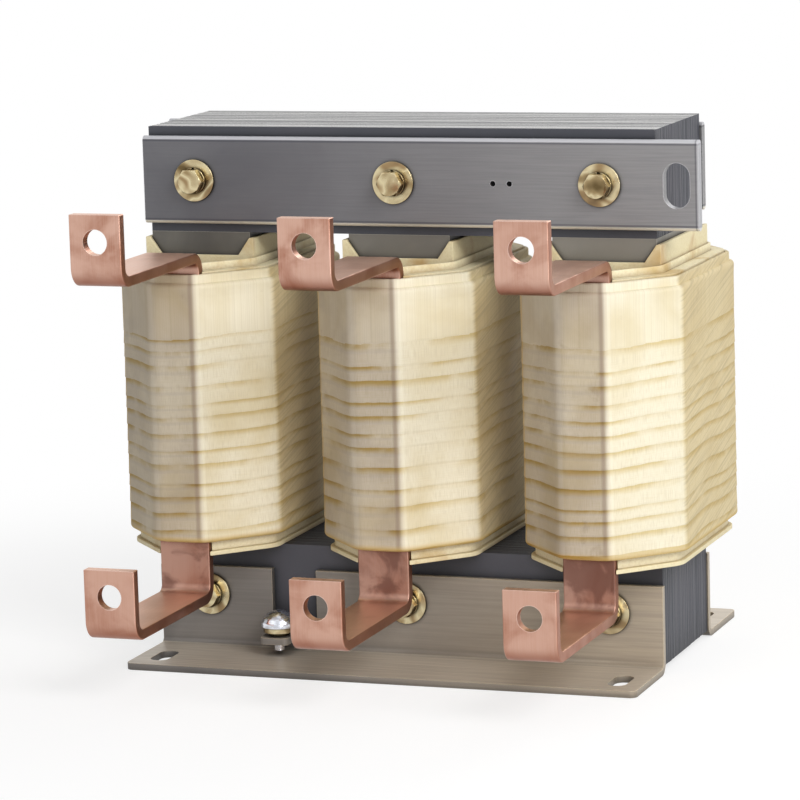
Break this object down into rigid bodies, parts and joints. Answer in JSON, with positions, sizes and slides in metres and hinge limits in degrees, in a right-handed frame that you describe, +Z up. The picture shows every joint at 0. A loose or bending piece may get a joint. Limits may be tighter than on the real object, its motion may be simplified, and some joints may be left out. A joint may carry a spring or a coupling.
{
  "type": "three-phase load-side reactor",
  "caption": "Three-limb iron-core reactor: taped coils on a clamped laminated core, with copper terminal bars to the front and slotted feet.",
  "frame": {"origin": "on the mounting plane, under the middle of the core and at the middle of the four foot slots", "axes": "+X along the row of coils to the long end of the front clamp bar, -Y to the terminal side, +Z up"},
  "size_m": [0.352, 0.297, 0.304],
  "materials": {
    "core_steel": "satin lacquered steel sheets",
    "spacer_board": "glass laminate",
    "former_board": "pressed insulating board",
    "layer_paper": "varnished insulating paper",
    "stick_wood": "plain hardwood sticks",
    "winding_tape": "woven cotton tape, varnished",
    "copper": "drawn copper bar, clean and dull",
    "bar_steel": "grey coated steel bar",
    "angle_steel": "warm grey coated sheet",
    "plated_fasteners": "yellow passivated steel",
    "bright_screw": "bright plated steel"
  },
  "bodies": {
    "root": {"bottom_yoke": "core_steel", "top_yoke": "core_steel", "left_limb_block_1": "core_steel", "left_limb_block_2": "core_steel", "left_limb_block_3": "core_steel", "left_gap_spacer_1": "spacer_board", "left_gap_spacer_2": "spacer_board", "left_former": "former_board", "left_layer_paper": "layer_paper", "left_duct_sticks": "stick_wood", "left_inner_winding": "layer_paper", "left_outer_winding": "winding_tape", "left_upper_terminal": "copper", "left_lower_terminal": "copper", "mid_limb_block_1": "core_steel", "mid_limb_block_2": "core_steel", "mid_limb_block_3": "core_steel", "mid_gap_spacer_1": "spacer_board", "mid_gap_spacer_2": "spacer_board", "mid_former": "former_board", "mid_layer_paper": "layer_paper", "mid_duct_sticks": "stick_wood", "mid_inner_winding": "layer_paper", "mid_outer_winding": "winding_tape", "mid_upper_terminal": "copper", "mid_lower_terminal": "copper", "right_limb_block_1": "core_steel", "right_limb_block_2": "core_steel", "right_limb_block_3": "core_steel", "right_gap_spacer_1": "spacer_board", "right_gap_spacer_2": "spacer_board", "right_former": "former_board", "right_layer_paper": "layer_paper", "right_duct_sticks": "stick_wood", "right_inner_winding": "layer_paper", "right_outer_winding": "winding_tape", "right_upper_terminal": "copper", "right_lower_terminal": "copper", "front_clamp_bar": "bar_steel", "rear_clamp_bar": "bar_steel", "front_clamp_angle": "angle_steel", "rear_clamp_angle": "angle_steel", "upper_clamp_bolts": "plated_fasteners", "lower_clamp_bolts": "plated_fasteners", "plain_washers": "plated_fasteners", "spring_washers": "plated_fasteners", "hex_nuts": "plated_fasteners", "bolt_sleeves": "spacer_board", "earth_spring_washer": "plated_fasteners", "earth_plain_washer": "plated_fasteners", "earth_screw": "bright_screw"}
  },
  "joints": []
}
